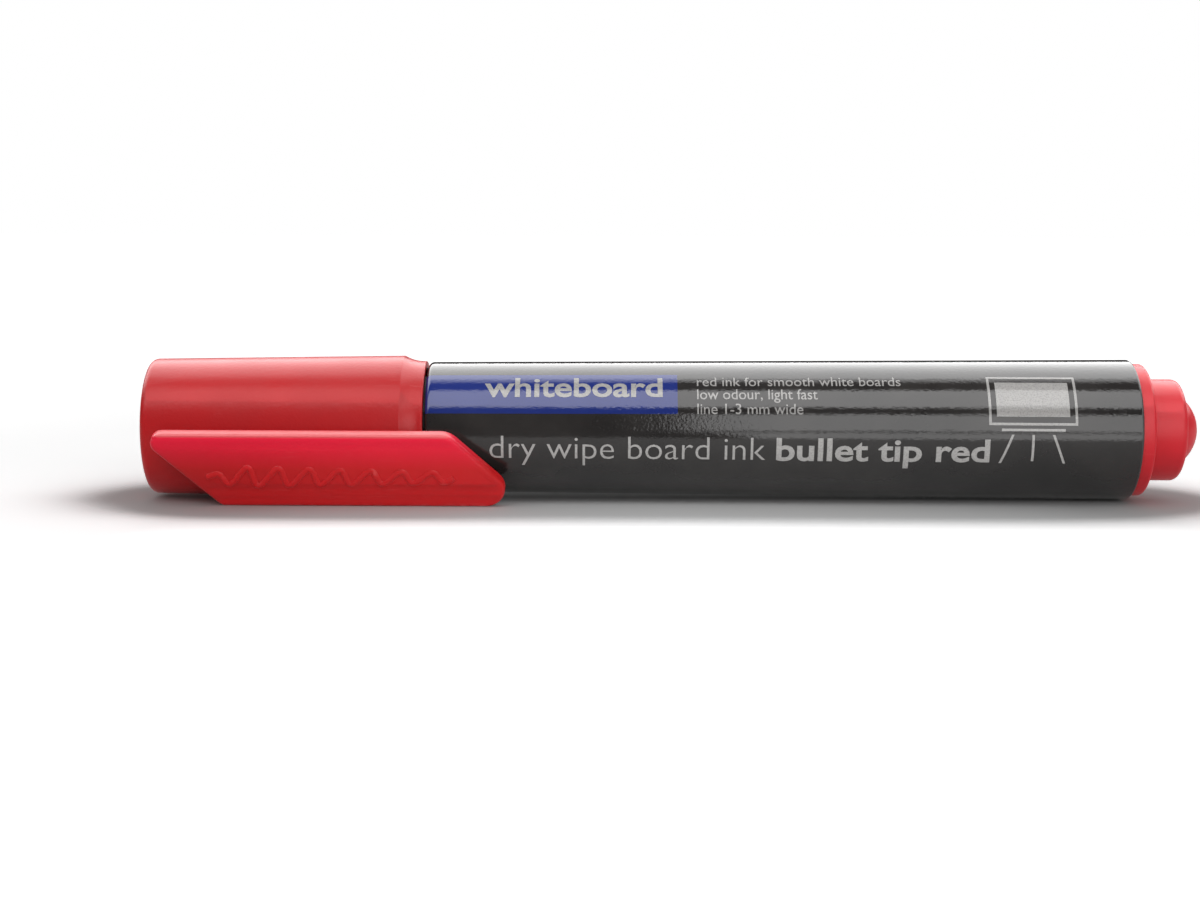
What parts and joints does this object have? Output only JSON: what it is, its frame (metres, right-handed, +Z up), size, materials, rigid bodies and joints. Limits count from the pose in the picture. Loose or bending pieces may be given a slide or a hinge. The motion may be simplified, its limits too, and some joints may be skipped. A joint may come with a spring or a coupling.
{
  "type": "whiteboard marker",
  "caption": "Capped whiteboard marker lying on its side: round tapered barrel in printed film, push-on cap with a leaning blade clip, bullet nib, ink core and stepped end plug.",
  "frame": {"origin": "on the surface that the marker lies on, under the middle of its box", "axes": "+X along the marker from the cap to the end plug, +Z up, and the clip on the -Y side"},
  "size_m": [0.1372, 0.0218, 0.0187],
  "materials": {
    "cap_plastic": "satin moulded polypropylene, finely eroded",
    "liner_plastic": "soft natural polyethylene",
    "barrel_plastic": "moulded, glossy",
    "label_film": "glossy printed film",
    "nose_plastic": "satin moulded",
    "nib_fibre": "bonded fibre soaked with ink",
    "core_fibre": "fibre bundle soaked with ink",
    "wrap_film": "clear film",
    "plug_plastic": "satin moulded polypropylene"
  },
  "bodies": {
    "pen": {"barrel": "barrel_plastic", "barrel_label": "label_film", "nose_section": "nose_plastic", "nib": "nib_fibre", "ink_reservoir": "core_fibre", "reservoir_wrap": "wrap_film", "end_plug": "plug_plastic"},
    "liner": {"cap_liner": "liner_plastic"},
    "cap": {"cap": "cap_plastic"}
  },
  "joints": [
    {"name": "cap_pull", "type": "slide", "parent": "pen", "child": "liner", "axis": [-1, 0, 0], "range_m": [0, 0.045]},
    {"name": "cap_twist", "type": "hinge", "parent": "liner", "child": "cap", "pos_m": [-0.03247, 0.00154, 0.00935], "axis": [1, 0, 0], "continuous": true}
  ]
}
